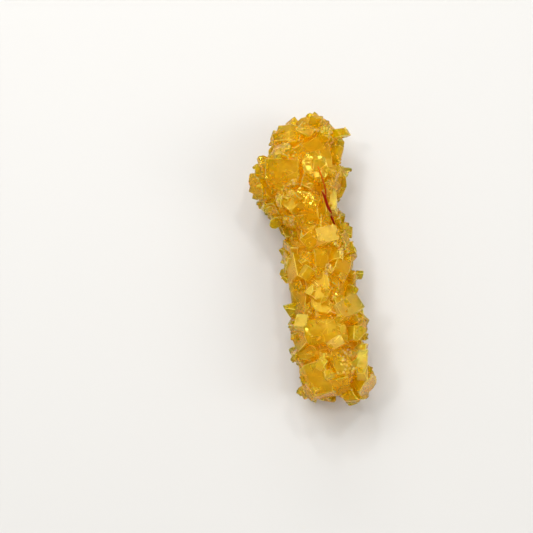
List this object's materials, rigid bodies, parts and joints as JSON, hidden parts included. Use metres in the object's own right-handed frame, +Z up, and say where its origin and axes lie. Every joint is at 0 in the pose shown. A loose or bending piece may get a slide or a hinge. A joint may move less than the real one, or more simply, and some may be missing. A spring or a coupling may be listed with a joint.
{
  "type": "rock candy stick",
  "caption": "Knobbly rock candy stick: amber sugar crystals grown together into one club shape, broader at the head, with a short saffron thread on top.",
  "frame": {"origin": "centre of the bounding box in plan, on the surface that the stick lies on", "axes": "+Y along the stick from its foot to its broad head, +X to the right as seen from above with the head away from the viewer, +Z up"},
  "size_m": [0.04, 0.1102, 0.0282],
  "materials": {
    "sugar": "glossy, translucent golden amber sugar crystals with paler edges and deeper orange hollows",
    "saffron": "dark crimson dried saffron thread, half sunk in the sugar"
  },
  "bodies": {
    "root": {"rock_candy": "sugar"}
  },
  "joints": []
}
